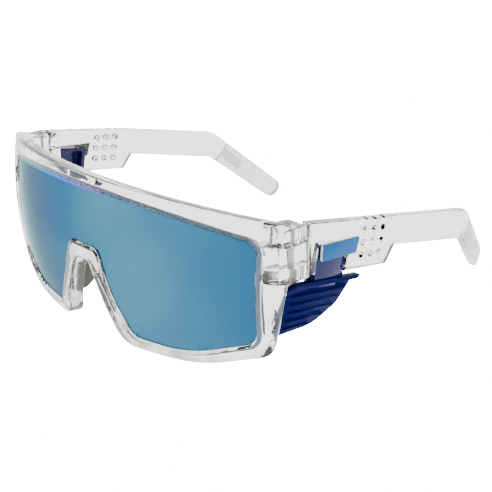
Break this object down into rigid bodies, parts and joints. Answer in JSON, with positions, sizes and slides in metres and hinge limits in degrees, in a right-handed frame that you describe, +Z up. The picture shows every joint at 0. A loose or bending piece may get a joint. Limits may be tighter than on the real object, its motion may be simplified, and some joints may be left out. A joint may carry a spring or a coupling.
{
  "type": "shield sunglasses",
  "caption": "Wraparound shield sunglasses: clear rim, blue mirror lens, folding clear temples with ear grips, and clip-on navy side shields.",
  "frame": {"origin": "middle of the footprint at table height: the glasses lie open on the rim and both ear tips", "axes": "+X to the wearer's left, +Y from the lens to the ear tips, +Z up"},
  "size_m": [0.149, 0.1546, 0.0594],
  "materials": {
    "clear_plastic": "polished crystal-clear plastic",
    "mirror_lens": "sky-blue mirror coat on a tinted plastic shield",
    "pad_rubber": "satin grey-green rubber",
    "clear_grip": "satin translucent soft plastic",
    "screw_steel": "turned",
    "insert_brass": "knurled insert, plated",
    "badge_aluminium": "bright blue anodised face with a bare edge",
    "navy_plastic": "glossy navy moulding",
    "smoke_blue_plastic": "dark translucent blue moulding"
  },
  "bodies": {
    "front": {"front_frame": "clear_plastic", "lens": "mirror_lens", "nose_pad_left": "pad_rubber", "nose_pad_right": "pad_rubber", "hinge_screw_left": "screw_steel", "hinge_screw_right": "screw_steel", "hinge_insert_left": "insert_brass", "hinge_insert_right": "insert_brass"},
    "temple_left": {"temple_left": "clear_plastic", "ear_grip_left": "clear_grip", "badge_left": "badge_aluminium"},
    "temple_right": {"temple_right": "clear_plastic", "ear_grip_right": "clear_grip", "badge_right": "badge_aluminium"},
    "shield_left": {"side_shield_left": "navy_plastic", "shield_clip_left": "smoke_blue_plastic"},
    "shield_right": {"side_shield_right": "navy_plastic", "shield_clip_right": "smoke_blue_plastic"}
  },
  "joints": [
    {"name": "temple_fold_left", "type": "hinge", "parent": "front", "child": "temple_left", "pos_m": [0.0673, -0.04646, 0.05236], "axis": [0, 0.0008, 1], "range_deg": [0, 84]},
    {"name": "temple_fold_right", "type": "hinge", "parent": "front", "child": "temple_right", "pos_m": [-0.0673, -0.04646, 0.05236], "axis": [0, -0.0008, -1], "range_deg": [0, 69]},
    {"name": "shield_release_left", "type": "slide", "parent": "temple_left", "child": "shield_left", "axis": [0, -0.1745, -0.9847], "range_m": [0, 0.012]},
    {"name": "shield_release_right", "type": "slide", "parent": "temple_right", "child": "shield_right", "axis": [0, -0.1745, -0.9847], "range_m": [0, 0.012]}
  ]
}
